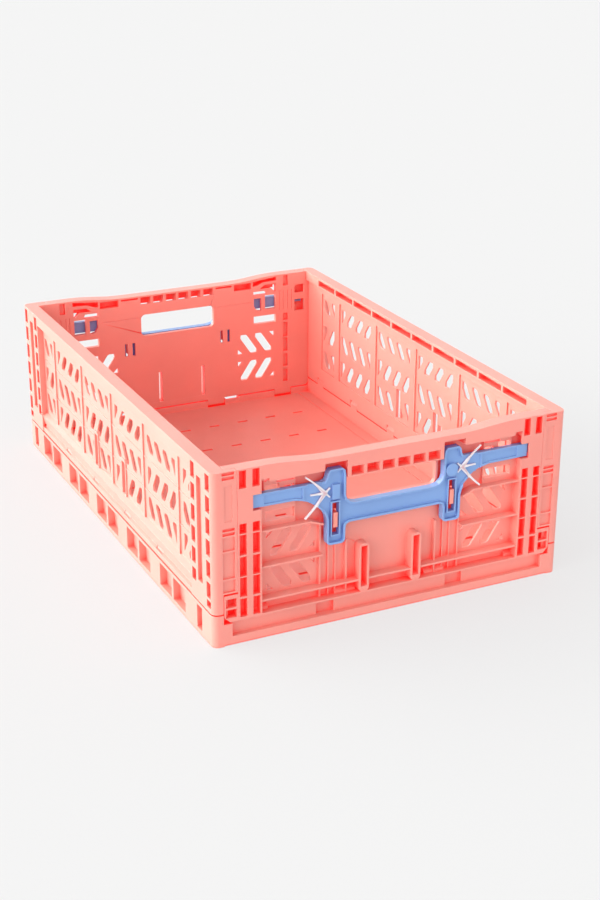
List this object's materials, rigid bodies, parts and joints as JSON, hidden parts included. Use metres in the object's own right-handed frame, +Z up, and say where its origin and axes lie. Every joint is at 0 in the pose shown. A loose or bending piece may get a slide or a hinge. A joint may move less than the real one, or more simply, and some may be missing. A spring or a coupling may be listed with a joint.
{
  "type": "collapsible storage crate",
  "caption": "Low Euro-size folding crate in coral plastic: ribbed tray, slotted long walls, end walls that fold inward and blue sliding latches on star springs.",
  "frame": {"origin": "centre of the footprint, on the ground", "axes": "+Z up, +Y along the long side towards the rear end wall, +X towards the right long wall"},
  "size_m": [0.4, 0.6, 0.186],
  "materials": {
    "coral_shell": "satin moulded polypropylene",
    "blue_latch": "satin moulded plastic",
    "pale_spring": "natural moulded plastic"
  },
  "bodies": {
    "base": {"base_tray": "coral_shell", "side_wall_left": "coral_shell", "side_wall_right": "coral_shell"},
    "front_wall": {"end_wall_front": "coral_shell"},
    "rear_wall": {"end_wall_rear": "coral_shell"},
    "front_latch": {"latch_front": "blue_latch", "latch_spring_front_left": "pale_spring", "latch_spring_front_right": "pale_spring"},
    "rear_latch": {"latch_rear": "blue_latch", "latch_spring_rear_left": "pale_spring", "latch_spring_rear_right": "pale_spring"}
  },
  "joints": [
    {"name": "front_wall_fold", "type": "hinge", "parent": "base", "child": "front_wall", "pos_m": [0, -0.288, 0.02], "axis": [-1, 0, 0], "range_deg": [0, 90]},
    {"name": "rear_wall_fold", "type": "hinge", "parent": "base", "child": "rear_wall", "pos_m": [0, 0.288, 0.02], "axis": [1, 0, 0], "range_deg": [0, 90]},
    {"name": "front_latch_slide", "type": "slide", "parent": "front_wall", "child": "front_latch", "axis": [0, 0, 1], "range_m": [0, 0.0055], "stiffness_N_per_m": 1200, "deforming": ["latch_spring_front_left", "latch_spring_front_right"]},
    {"name": "rear_latch_slide", "type": "slide", "parent": "rear_wall", "child": "rear_latch", "axis": [0, 0, 1], "range_m": [0, 0.0055], "stiffness_N_per_m": 1200, "deforming": ["latch_spring_rear_left", "latch_spring_rear_right"]}
  ]
}
